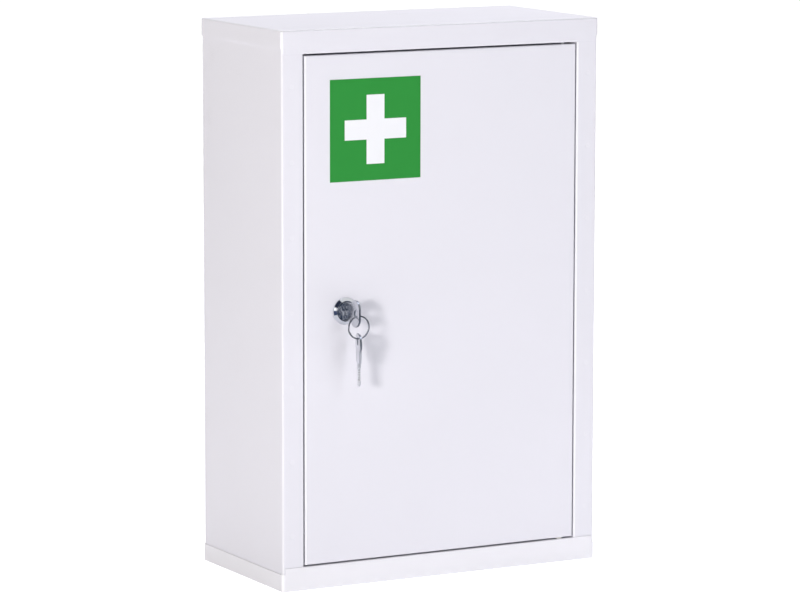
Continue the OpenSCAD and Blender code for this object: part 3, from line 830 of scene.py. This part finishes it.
@dataclass
class LockFixings:
    """The hexagon nut and the toothed washer behind the door, in millimetres in the lock's frame."""

    flats: float = 24.0
    nut_low: float = -5.0
    nut_high: float = -1.5
    nut_face_radius: float = 11.5
    chamfer_slope: float = 1.73
    bore_gap: float = 0.08
    lead_in: float = 0.45
    lead_out: float = 0.55
    washer_high: float = -0.8
    washer_radius: float = 12.0
    washer_bore: float = 9.45
    washer_sheet: float = 0.36
    tooth_depth: float = 1.2
    tooth_twist: float = 0.17
    teeth: int = 16

    def nut(self, lock: LockSizes) -> Skin:
        """A nut with a chamfer on both faces and a thread that follows the barrel's.

        The outside radius at angle a is half the flats over the cosine of a folded into one of six
        sides, held under a cone whose radius grows by the chamfer's slope times the depth below the
        nearer face.

        Args:
            lock: the sizes of the lock, for its thread.

        Returns:
            The nut in the lock's frame, in metres.
        """
        angles = around(180)
        fold = np.mod(angles, math.pi / 3) - math.pi / 6
        hexagon = self.flats / 2 / np.cos(fold)
        half = (self.nut_high - self.nut_low) / 2
        depth = np.array([0.0, 0.08, 0.25, 0.5, 0.8, 1.1, 1.4, half])
        rows = len(depth)
        depth = np.concatenate([depth, depth[-2::-1]])[:, None]
        outside = np.minimum(hexagon, self.nut_face_radius + self.chamfer_slope * depth)
        height = np.concatenate([self.nut_low + depth[:rows], self.nut_high - depth[rows:]]) + 0 * angles
        lead_in = self.lead_in
        rise = np.linspace(self.nut_high - lead_in, self.nut_low + lead_in, 28)[:, None]
        wave = np.cos(2 * math.pi * rise / lock.thread_pitch - angles)
        bore = lock.barrel_radius + self.bore_gap - lock.thread_depth / 2 * (1 - wave)
        lead = np.full((1, len(angles)), lock.barrel_radius + self.lead_out)
        radius = np.vstack([outside, lead, bore, lead])
        level = np.vstack([height, self.nut_high + 0 * lead, rise + 0 * angles, self.nut_low + 0 * lead])
        return grid(turned(radius, level, angles) * MM, wrap_rows=True, wrap_columns=True)

    def washer(self) -> Skin:
        """A washer whose outer teeth are twisted out of its plane.

        The outer radius swings between root and tip by a squared-off sine of the angle; a tooth's
        faces tilt by the cosine of the same angle, times the share of the way from root to tip.

        Returns:
            The washer in the lock's frame, in metres.
        """
        angles = around(self.teeth * 16)
        swing = np.sin(angles * self.teeth)
        crest = 0.5 + 0.5 * np.sign(swing) * np.abs(swing) ** 0.35
        root = self.washer_radius - self.tooth_depth
        outer = root + self.tooth_depth * crest
        step = np.array([0.0, 0.04, 0.5, 0.96, 1.0])[:, None]
        radius = np.vstack([self.washer_bore + step * (root - self.washer_bore) + 0 * angles,
                            root + np.array([0.35, 0.7, 0.95, 1.0])[:, None] * (outer - root)])
        share = np.clip((radius - root) / self.tooth_depth, 0, 1)
        tilt = self.tooth_twist * np.cos(angles * self.teeth) * share
        half = np.full_like(radius, self.washer_sheet / 2)
        half[[0, -1]] -= 0.07
        middle = self.washer_high - self.washer_sheet / 2 - self.tooth_twist + tilt
        level = np.vstack([middle + half, (middle - half)[::-1]])
        ring = turned(np.vstack([radius, radius[::-1]]), level, angles)
        return grid(ring * MM, wrap_rows=True, wrap_columns=True)


@dataclass
class CamLock:
    """The cam lock in the door: housing with its thread, plug, cam and fixings."""

    sizes: LockSizes = field(default_factory=LockSizes)
    fixings: LockFixings = field(default_factory=LockFixings)
    rim_lean: float = 38.0
    rim_bulge: float = 0.05
    # The plug's navy dull colour covers its whole face: a painted dark reflection and shade.
    plug: LockFace = LockFace("plug_chrome", colour=(0.80, 0.82, 0.86), stain=(0.14, 0.15, 0.20),
                              roughness=0.10, scratch=0.1, stain_share=0.35, stain_scale=620.0,
                              pit_height=0.01 * MM, relief=48.0, dull=(0.085, 0.115, 0.18),
                              dull_roughness=0.12)
    chrome: LockFace = LockFace("lock_chrome", colour=(0.79, 0.81, 0.86), stain=(0.64, 0.66, 0.70),
                                roughness=0.03, scratch=0.04, stain_share=0.12)
    zinc: Plating = Plating("zinc_plating", colour=(0.66, 0.67, 0.68), stain=(0.5, 0.5, 0.49),
                            roughness=0.3, scratch=0.12, stain_share=0.4, pit_height=0.004 * MM,
                            crystal=0.12)
    brass: Plating = Plating("stamped_brass", colour=(0.78, 0.58, 0.28), stain=(0.5, 0.36, 0.17),
                             roughness=0.28, scratch=0.1, stain_share=0.4)

    def build(self) -> None:
        """Builds the housing and dresses the rest of the lock."""
        chrome, zinc = self.chrome.build(), self.zinc.build()
        place = self.sizes.place()
        self.housing().moved(place).build(
            "lock_housing_turned", chrome, "lock_chrome", "door", "lock_housing")
        self.fixings.nut(self.sizes).moved(place).build(
            "lock_nut_chamfered", zinc, "zinc_plate", "door", "lock_nut")
        self.fixings.washer().moved(place).build(
            "lock_washer_toothed", zinc, "zinc_plate", "door", "lock_washer")
        dress(self.plug.build(), ("lock_plug",))
        dress(zinc, ("lock_cam", "cam_washer", "cam_screw"))
        dress(self.brass.build(), ("lock_wafers",))

    def head_outline(self) -> Array:
        """Half section of the head: over the recess floor and the bevelled rim, and down its side.

        The rim is a cone that leans outwards and bulges by a half sine wave.

        Returns:
            Points of radius and height, in millimetres.
        """
        s = self.sizes
        bend, inner_bend, bevel, foot_bevel = 0.25, 0.2, 0.15, 0.12
        lip, edge = s.recess_radius + bend, s.head_radius - bend
        foot = s.head_height - (edge - lip) * math.tan(math.radians(self.rim_lean))
        share = np.linspace(0, 1, 9)
        cone = np.column_stack([lip + share * (edge - lip),
                                s.head_height - share * (s.head_height - foot)
                                + self.rim_bulge * np.sin(math.pi * share)])
        corner = s.recess_radius - inner_bend
        return np.vstack([
            [(s.bore_radius, s.recess_floor - bevel)],
            [(s.bore_radius + bevel, s.recess_floor), (corner, s.recess_floor)],
            arc((corner, s.recess_floor + inner_bend), inner_bend, -90, 0, 4),
            arc((lip, s.head_height - 0.26), bend, 180, 100, 5),
            cone,
            arc((edge, foot - 0.24), bend, 45, 0, 4),
            [(s.head_radius, foot_bevel), (s.head_radius - foot_bevel, 0.0)],
        ])

    def bore(self, angles: Array) -> tuple[Array, Array]:
        """Radius and height of the bore's rows, from its end up to the head.

        Two grooves take the wafers. At an angle d from a groove's middle its wall is the nearer of
        two planes: groove radius over cosine d, and groove half width over sine d.

        Args:
            angles: the angles of the columns.

        Returns:
            The radius and the height of every point, in millimetres.
        """
        s = self.sizes
        groove = np.full_like(angles, s.bore_radius)
        for middle in s.groove_turns:
            cosine = np.maximum(np.cos(angles - middle), 1e-6)
            sine = np.maximum(np.abs(np.sin(angles - middle)), 1e-6)
            groove = np.maximum(groove, np.minimum(s.groove_radius / cosine, s.groove_half / sine)
                                * (cosine > 0.5))
        plain = np.full_like(angles, s.bore_radius)
        height = np.array([-s.barrel_length, s.groove_low, s.groove_low, s.groove_high, s.groove_high])
        return np.vstack([plain, plain, groove, groove, plain]), height[:, None] + 0 * angles

    def housing(self) -> Skin:
        """One closed surface: up the bore, over the head and down the threaded barrel with two flats.

        The barrel's radius at height z and angle a is its outer radius less half the thread's depth
        times 1 less the cosine of z over the pitch less a over a turn, and less a rounding at its
        end; x is then held inside the flats.

        Returns:
            The housing in the lock's frame, in metres.
        """
        s = self.sizes
        angles = around(128)
        bore_radius, bore_height = self.bore(angles)
        head = self.head_outline()
        height = np.concatenate([np.linspace(0, -1.4, 4), np.arange(-1.5, -20.9, -0.125),
                                 np.linspace(-21, -s.barrel_length, 6)])[:, None]
        threaded = np.clip((-height - 1.4) / 0.6, 0, 1) * np.clip((height + 21.2) / 0.8, 0, 1)
        wave = np.cos(2 * math.pi * (height / s.thread_pitch) - angles)
        barrel = s.barrel_radius - s.thread_depth / 2 * (1 - wave) * threaded
        barrel = barrel - 0.6 * np.clip((-height - 21.2) / 0.8, 0, 1) ** 2
        radius = np.vstack([bore_radius, head[:, :1] + 0 * angles, barrel])
        level = np.vstack([bore_height, head[:, 1:] + 0 * angles, height + 0 * angles])
        ring = turned(radius, level, angles)
        ring[-len(barrel):, :, 0] = np.clip(ring[-len(barrel):, :, 0], -s.half_flats, s.half_flats)
        return grid(ring * MM, wrap_rows=True, wrap_columns=True)


@dataclass
class KeyShape:
    """Sizes of a key, in millimetres; x is across, the bow's end is at y = 0 and the tip below."""

    length: float = 44.0
    thickness: float = 2.0
    edge_round: float = 0.35
    bow_radius: float = 7.65
    bow_half: float = 3.6
    hole_radius: float = 3.3
    hole_drop: float = 6.0
    neck_top: Pair = (8.5, 13.3)
    neck_foot: Pair = (7.0, 24.0)
    blade_half: float = 3.5
    blade_thin: float = 0.03
    groove_depth: float = 0.4
    groove_half: float = 0.8
    cut_depth: float = 0.6
    first_cut: float = 29.0
    cut_pitch: float = 2.0
    cuts: int = 5

    def rounded(self, inside: Array) -> Array:
        """Half thickness at a distance inside the outline: a quarter circle, then flat.

        Args:
            inside: distances inside the outline, in millimetres.

        Returns:
            The half thickness at each.
        """
        r = self.edge_round
        lack = np.clip(r - inside, 0, r)
        return self.thickness / 2 - r + np.sqrt(r * r - lack * lack)

    def depth(self, x: Array, y: Array) -> Array:
        """Distance inside the outline of bow and neck, negative outside.

        The bow is a circle stretched along x: its radius less the distance to its middle line. The
        neck narrows downwards: the least distance to its two sides, its foot and a line in the bow.
        The outline joins both, so the larger of the two distances holds.

        Args:
            x: places across the key.
            y: places along it, from 0 at the bow's end downwards.

        Returns:
            The distance at each place, in millimetres.
        """
        bow = self.bow_radius - np.hypot(np.maximum(np.abs(x) - self.bow_half, 0), y + self.bow_radius)
        (top_x, top_y), (foot_x, foot_y) = self.neck_top, self.neck_foot
        lean = math.hypot(top_x - foot_x, foot_y - top_y)
        side = ((top_x - np.abs(x)) * (foot_y - top_y) - (-y - top_y) * (top_x - foot_x)) / lean
        neck = np.minimum(np.minimum(side, y + foot_y), -y - self.bow_radius)
        return np.maximum(bow, neck)

    def bow(self) -> Skin:
        """The bow and neck as a ring of faces from the hole out to the outline.

        For each angle round the hole the outer radius is found by halving on the depth; the
        heights follow the rounding of the nearer rim.

        Returns:
            The surface in the key's own frame, in millimetres.
        """
        corners = [math.atan2(self.hole_drop - y, x) for x, y in (self.neck_top, self.neck_foot)]
        corners = [turn % (2 * math.pi) for turn in corners + [math.pi - turn for turn in corners]]
        angles = np.unique(np.concatenate([around(144), corners]))
        low, high = np.full(len(angles), self.hole_radius), np.full(len(angles), 25.0)
        for _ in range(40):
            mid = (low + high) / 2
            outside = self.depth(mid * np.cos(angles), mid * np.sin(angles) - self.hole_drop) < 0
            low, high = np.where(outside, low, mid), np.where(outside, mid, high)
        steps = np.array([0, 0.02, 0.06, 0.12, 0.2, 0.4, 0.6, 0.8, 0.88, 0.94, 0.98, 1])[:, None]
        width = low - self.hole_radius
        near = self.edge_round * 1.3
        hole_side = np.minimum(steps * 5 * near / width, 0.45)
        rim_side = np.maximum(1 - (1 - steps) * 5 * near / width, 0.55)
        share = np.where(steps <= 0.2, hole_side, np.where(steps >= 0.8, rim_side, steps))
        radius = self.hole_radius + share * width
        x, y = radius * np.cos(angles), radius * np.sin(angles) - self.hole_drop
        inside = np.minimum(np.maximum(self.depth(x, y), 0), radius - self.hole_radius)
        z = self.rounded(inside)
        front = np.stack([x, y, z], -1)
        back = np.stack([x, y, -z], -1)[::-1]
        return grid(np.concatenate([front, back]), wrap_rows=True, wrap_columns=True)

    def half_width(self, down: Array) -> Array:
        """Half width of the blade, less its round nose and its cuts.

        Args:
            down: distances below the bow's end, in millimetres.

        Returns:
            The half width at each.
        """
        short = np.maximum(self.blade_half - (self.length - down), 0)
        width = np.sqrt(np.maximum(self.blade_half ** 2 - short ** 2, 0))
        for index in range(self.cuts):
            centre = self.first_cut + index * self.cut_pitch
            width = width - self.cut_depth * np.clip(1.15 - np.abs(down - centre) / 0.95, 0, 1)
        return np.maximum(width, 0)

    def blade(self) -> Skin:
        """The blade as one closed section carried along the key, with its closed start in the neck.

        Across a section the half thickness follows the rounding at the edges, less a groove with
        sloping sides along the middle of each face.

        Returns:
            The surface in the key's own frame, in millimetres.
        """
        nose = self.blade_half * (1 - np.sin(np.linspace(0, math.pi / 2, 16)))
        down = np.concatenate([np.linspace(23.0, 28.0, 9), np.linspace(28.1, 40.3, 81),
                               self.length - nose])
        half = self.half_width(down)[:, None]
        slope = np.gradient(half[:, 0], down)[:, None]
        across = np.array([1, 0.985, 0.96, 0.93, 0.9, 0.8, 0.6, 0.34, 0.3, 0.26, 0.22, 0.18, 0.1])
        across = np.concatenate([-across, [0.0], across[::-1]])
        x = half * across
        inside = (half - np.abs(x)) / np.sqrt(1 + np.minimum(slope ** 2, 25))
        z = self.rounded(inside) - self.blade_thin
        deep = np.clip((down - 25.0) / 1.5, 0, 1)[:, None]
        z = z - self.groove_depth * deep * np.clip((self.groove_half + 0.25 - np.abs(x)) / 0.4, 0, 1)
        y = -down[:, None] + 0 * x
        front = np.stack([x, y, z], -1)
        back = np.stack([x, y, -z], -1)[:, ::-1]
        section = np.concatenate([front, back], 1)
        middle = np.zeros_like(section[:1]) + np.array([0.0, -down[0], 0.0])
        return grid(np.concatenate([middle, section]), wrap_columns=True)

    def skin(self) -> Skin:
        """The whole key, turned to hang from its bow with its plate in the Y-Z plane.

        Returns:
            The surface in metres.
        """
        whole = self.bow() + self.blade()
        x, y, z = whole.points.T
        return Skin(np.column_stack([z, x, y]) * MM, whole.quads)


@dataclass
class KeySet:
    """The key in the lock, the split ring through its bow, and the spare key on the ring."""

    shape: KeyShape = field(default_factory=KeyShape)
    ring_centre: Triple = (-89.2, -94.7, 220.289)
    ring_radius: float = 9.35
    wire_radial: float = 0.6
    wire_axial: float = 0.3
    coil_step: float = 0.32
    spare_top: Triple = (-89.2, -94.7, 214.839)
    spare_twist: float = -18.0
    bow_out: float = 26.5
    nickel: KeyBlank = KeyBlank("key_nickel", colour=(0.68, 0.695, 0.735), stain=(0.5, 0.51, 0.54),
                              roughness=0.2, scratch=0.12, stain_share=0.3)
    steel: RingWire = RingWire("ring_steel", colour=(0.38, 0.39, 0.42), stain=(0.25, 0.25, 0.27),
                             roughness=0.14, scratch=0.1, stain_share=0.3)

    def build(self, lock: LockSizes) -> None:
        """Builds both keys and the ring.

        Args:
            lock: the sizes of the lock that the first key is in.
        """
        nickel = self.nickel.build()
        out = Matrix.Translation((0.0, 0.0, self.bow_out * MM))
        self.shape.skin().moved(lock.place() @ out).build(
            "door_key_cut", nickel, "lock_chrome", "inserted_key", "door_key")
        spot = Matrix.Translation(Vector(self.spare_top) * MM)
        twist = Matrix.Rotation(math.radians(self.spare_twist), 4, "Z")
        self.shape.skin().moved(spot @ twist).build(
            "spare_key_cut", nickel, "lock_chrome", "hanging_key", "spare_key")
        self.ring().build("split_ring", self.steel.build(), "lock_chrome", "ring", "key_ring")

    def ring(self) -> Skin:
        """A flat wire wound for nearly two turns, which steps over its own start.

        The wire's middle runs round the circle at angle a; it lies at minus one coil step along
        the axis on the first turn and climbs by a smooth step to plus one just before a full turn.

        Returns:
            The ring in metres.
        """
        step = math.radians(26)
        angle = np.linspace(0.0, 4 * math.pi - step - 0.03, 420)
        climb = np.clip((angle - 2 * math.pi + step) / step, 0, 1)
        climb = climb * climb * (3 - 2 * climb)
        side = self.coil_step * (2 * climb - 1)
        ends = np.minimum(angle, angle[-1] - angle) * self.ring_radius
        size = np.sqrt(np.clip(1 - np.clip(1 - ends / 0.25, 0, 1) ** 2, 0, 1))
        turn = around(20)
        radial = self.wire_radial * np.sign(np.cos(turn)) * np.abs(np.cos(turn)) ** 0.6
        axial = self.wire_axial * np.sign(np.sin(turn)) * np.abs(np.sin(turn)) ** 0.6
        radius = self.ring_radius + size[:, None] * radial
        start = math.radians(200)
        x = radius * np.cos(angle + start)[:, None] + self.ring_centre[0]
        z = radius * np.sin(angle + start)[:, None] + self.ring_centre[2]
        y = side[:, None] + size[:, None] * axial + self.ring_centre[1]
        wire = grid(np.stack([x, y, z], -1), wrap_columns=True)
        return Skin(wire.points * MM, wire.quads)


@dataclass
class Hinge:
    """The two headed pins, their nylon bushes, the thrust washer and the door's rubber bumpers."""

    zinc: Plating = Plating("pin_zinc", colour=(0.66, 0.67, 0.68), stain=(0.5, 0.5, 0.49),
                            roughness=0.28, scratch=0.12, stain_share=0.4)
    nylon: Moulded = Moulded("moulded_nylon", colour=(0.80, 0.79, 0.74), roughness=0.42)
    rubber: Moulded = Moulded("moulded_rubber", colour=(0.022, 0.022, 0.024), roughness=0.62,
                              texture=0.012 * MM)

    def dress(self) -> None:
        """Gives the hinge parts and the bumpers their finish."""
        dress(self.zinc.build(), ("top_hinge_pin", "bottom_hinge_pin"))
        dress(self.nylon.build(), ("top_hinge_bush", "bottom_hinge_bush", "thrust_washer"))
        dress(self.rubber.build(), ("door_bumpers",))


# ---------- studio ----------

def towards(azimuth: float, elevation: float = 0.0) -> Vector:
    """Unit direction; azimuth 0 is straight in front of the door and goes round to the right.

    Args:
        azimuth: in degrees.
        elevation: in degrees above the floor.

    Returns:
        (sin a cos e, -cos a cos e, sin e).
    """
    a, e = math.radians(azimuth), math.radians(elevation)
    return Vector((math.sin(a) * math.cos(e), -math.cos(a) * math.cos(e), math.sin(e)))


def within(cosine: Value, half: float) -> Value:
    """1 where the angle of that cosine is under half, in degrees, with a soft edge of 4 degrees."""
    return cosine.ease(math.cos(math.radians(half + 2)), math.cos(math.radians(half - 2)))


@dataclass(frozen=True)
class Softbox:
    """A rectangular lamp that faces a point on the cabinet."""

    name: str
    azimuth: float
    elevation: float
    distance: float
    width: float
    height: float
    power: float
    colour: Colour
    mirrored: bool = False
    aim: Triple = (0.0, 0.0, 0.23)

    def build(self) -> None:
        """Adds the lamp."""
        away = towards(self.azimuth, self.elevation)
        lamp = bpy.data.lights.new(self.name, "AREA")
        lamp.shape = "RECTANGLE"
        lamp.size = self.width
        lamp.size_y = self.height
        lamp.energy = self.power
        lamp.color = self.colour
        holder = add(self.name, lamp)
        holder.location = Vector(self.aim) + away * self.distance
        holder.rotation_euler = away.to_track_quat("Z", "Y").to_euler()
        holder.visible_camera = False
        holder.visible_glossy = self.mirrored
        log.info("%s: lamp at azimuth %.0f, elevation %.0f", self.name, self.azimuth, self.elevation)


@dataclass(frozen=True)
class FloorPaper(Finish):
    """White paper that glows softly; for reflections only it is darker, and painted black in sectors.

    A dark sector is its azimuth, its half angle and where it starts, from the foot of the lock.
    """

    paper: Colour = (0.93, 0.93, 0.935)
    spread: Pair = (0.99, 1.0)
    near_glow: Colour = (0.355, 0.355, 0.355)
    far_glow: Colour = (0.42, 0.42, 0.42)
    lock_spot: Pair = (-0.0913, -0.0742)
    dark_sectors: tuple[Triple, ...] = (
        (28.2, 16.0, 0.1), (-47.0, 13.0, 0.42), (97.0, 18.0, 0.3))

    def sockets(self, graph: Graph) -> dict[str, Any]:
        """Plain white for the camera, a dimmer glow for light, and painted black that only reflections
        see.

        Args:
            graph: the material's nodes.

        Returns:
            The shader's sockets by name, with their values or links.
        """
        place = graph.place()
        x, y, _ = graph.axes(place)
        mirrored = graph.ray("Is Glossy Ray")
        # Painted dark reflection: for reflections only, the floor is at least 30 % black, and black in
        # the sectors.
        dark = mirrored * self._reflected_black_share(x, y).most(0.30)
        shade = graph.tinted(graph.noise(place, 400, 2), self.paper, self.spread)
        glow = graph.mix(x.hypot(y).ease(0.2, 0.38), self.near_glow, self.far_glow)
        # The glow is darker for reflections too: part of the painted dark reflection.
        glow = graph.mix((mirrored * 0.7).most(dark), glow, REFLECTED_BLACK)
        return {
            "Base Color": graph.mix(dark, shade, REFLECTED_BLACK),
            "Roughness": 0.9,
            "Specular IOR Level": 0.1,
            "Emission Color": graph.mix(graph.ray("Is Camera Ray"), glow, WHITE),
            "Emission Strength": 1.0,
        }

    def _reflected_black_share(self, x: Value, y: Value) -> Value:
        """Share of painted black that only reflections see, in sectors round the foot of the lock.

        Args:
            x, y: the place on the floor.

        Returns:
            The share, from 0 to 0.98.
        """
        share = 0.0
        across, along = x - self.lock_spot[0], y - self.lock_spot[1]
        reach = across.hypot(along)
        for azimuth, half, start in self.dark_sectors:
            aim = towards(azimuth)
            cosine = (across * aim.x + along * aim.y) / reach
            share = within(cosine, half) * reach.ease(start, start + 0.04) + share
        return share.least(0.98)


@dataclass
class Studio:
    """Camera, floor, lamps and the white surroundings.

    A disc in the walls is its azimuth, its elevation and its half angle, in degrees.
    """

    camera_spot: Triple = (-1.6772, -3.0946, 0.7416)
    yaw: float = 28.465
    pitch: float = 8.355
    roll: float = 0.090
    lens: float = 188.36
    floor_rings: tuple[float, ...] = (0.0, 0.2, 0.5, 1.0, 2.0, 4.0, 6.0)
    surround: float = 0.10
    seen_surround: float = 1.06
    shine: float = 0.75
    dark_discs: tuple[Triple, ...] = ((28.2, -8.7, 13.5), (-31.0, 37.0, 23.0))
    lamp_discs: tuple[Triple, ...] = ((-52.0, 7.0, 7.0),)
    lamp_glow: float = 1.5
    lamps: tuple[Softbox, ...] = (
        Softbox("left_softbox", -52, 7, 3.0, 0.44, 0.41, 44.4, (1.0, 0.966, 0.935)),
        Softbox("side_softbox", -90, 25, 1.2, 0.6, 0.6, 0.52, (1.0, 0.82, 0.4)),
        Softbox("front_softbox", 20, 20, 3.5, 1.6, 1.6, 24.8, (0.955, 0.972, 1.0)),
        Softbox("top_softbox", 115, 76, 2.0, 1.5, 1.5, 38.5, (0.96, 0.946, 1.0), mirrored=True),
    )

    def camera(self) -> None:
        """Places the camera: its axes come from the yaw, pitch and roll in degrees."""
        yaw, pitch, roll = (math.radians(turn) for turn in (self.yaw, self.pitch, self.roll))
        flat = math.cos(pitch)
        ahead = Vector((math.sin(yaw) * flat, math.cos(yaw) * flat, -math.sin(pitch)))
        level = Vector((math.cos(yaw), -math.sin(yaw), 0.0))
        above = level.cross(ahead)
        right = math.cos(roll) * level + math.sin(roll) * above
        up = math.cos(roll) * above - math.sin(roll) * level
        turn = Matrix((right, up, -ahead)).transposed().to_4x4()
        data = bpy.data.cameras.new("camera")
        data.lens = self.lens
        data.sensor_width = 36.0
        data.clip_end = 60.0
        holder = add("camera", data)
        holder.matrix_world = Matrix.Translation(self.camera_spot) @ turn
        bpy.context.scene.camera = holder
        log.info("camera: lens %.1f mm", self.lens)

    def floor(self) -> None:
        """A round floor: rings of points at growing radius under the cabinet."""
        radius = np.array(self.floor_rings)[:, None]
        disc = grid(turned(radius, np.zeros_like(radius), around(72)), wrap_columns=True)
        floor = add("floor", disc.mesh("floor", FloorPaper("floor_paper").build()))
        log.info("floor: radius %.1f m", self.floor_rings[-1])

    @staticmethod
    def discs(places: tuple[Triple, ...], x: Value, y: Value, z: Value) -> Value:
        """Share of soft-edged discs in the walls.

        Args:
            places: azimuth, elevation and half angle of each disc.
            x, y, z: the direction.

        Returns:
            The share, from 0 to 0.98.
        """
        share = 0.0
        for azimuth, elevation, half in places:
            aim = towards(azimuth, elevation)
            share = within(x * aim.x + y * aim.y + z * aim.z, half) + share
        return share.least(0.98)

    def surroundings(self) -> None:
        """White walls for the camera; softer walls with dark flags for light and reflections."""
        world = bpy.data.worlds.new("studio_walls")
        bpy.context.scene.world = world
        world.use_nodes = True
        graph = Graph(world.node_tree)
        x, y, z = graph.axes(graph.node("ShaderNodeTexCoord", {}, {}).outputs["Generated"])
        seen, mirrored = graph.ray("Is Camera Ray"), graph.ray("Is Glossy Ray")
        soft = self.surround * (1 - 0.10 * y.least(0.0) + 0.16 * x.least(0.0))
        gloss = self.shine + self.discs(self.lamp_discs, x, y, z) * (self.lamp_glow - self.shine)
        strength = soft * (1 - mirrored) + gloss * mirrored
        strength = strength * (1 - seen) + self.seen_surround * seen
        flags = self.discs(self.dark_discs, x, y, z)
        colour = graph.mix(flags * mirrored, WHITE, REFLECTED_BLACK)
        back = graph.node("ShaderNodeBackground", {}, {"Color": colour, "Strength": strength})
        graph.node("ShaderNodeOutputWorld", {}, {"Surface": back.outputs["Background"]})
        log.info("surroundings: white walls")

    def build(self) -> None:
        """Sets up the camera, floor, walls and lamps."""
        self.camera()
        self.floor()
        self.surroundings()
        bpy.context.scene.view_settings.view_transform = "Standard"
        for lamp in self.lamps:
            lamp.build()


def main() -> None:
    """Builds the studio and every sub-assembly in order."""
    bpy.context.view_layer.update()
    Studio().build()
    Paintwork().dress()
    SafetySign().dress()
    Hinge().dress()
    lock = CamLock()
    lock.build()
    KeySet().build(lock.sizes)


def plain(box: Any) -> list[list[float]]:
    """The two corners of a box as plain lists."""
    return [[float(part) for part in corner] for corner in box]


if __name__ == "__main__":
    main()
